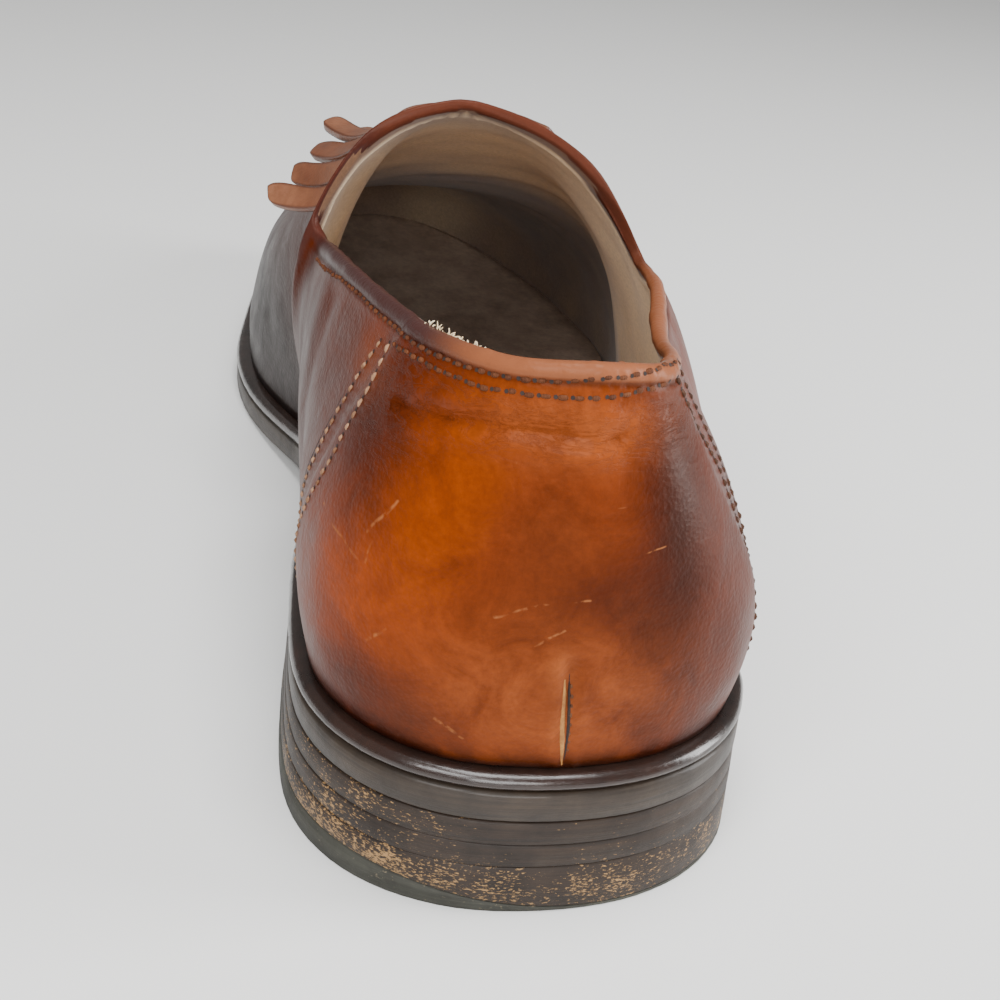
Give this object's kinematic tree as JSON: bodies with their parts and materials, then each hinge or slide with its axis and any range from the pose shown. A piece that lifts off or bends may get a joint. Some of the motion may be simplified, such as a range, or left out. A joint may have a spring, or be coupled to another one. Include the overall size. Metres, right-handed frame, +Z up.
{
  "type": "loafer shoe",
  "caption": "Dress loafer with an arched tongue, a fringed flap on the instep and a low stacked heel, open at the collar.",
  "frame": {"origin": "on the floor under the middle of the heel", "axes": "+Z up, +Y to the toe, +X to the outer side of a right shoe"},
  "size_m": [0.102, 0.3024, 0.1006],
  "materials": {
    "upper_leather": "burnished",
    "fringe_leather": "satin",
    "insole_leather": "matte",
    "welt_edge": "polished edge dressing",
    "sole_leather": "satin edge",
    "heel_leather": "worn edge",
    "heel_rubber": "matte"
  },
  "bodies": {
    "root": {"upper": "upper_leather", "kiltie": "fringe_leather", "insole": "insole_leather", "welt": "welt_edge", "outsole": "sole_leather", "heel_lift_1": "heel_leather", "heel_lift_2": "heel_leather", "heel_lift_3": "heel_leather", "heel_top_piece": "heel_rubber"}
  },
  "joints": []
}
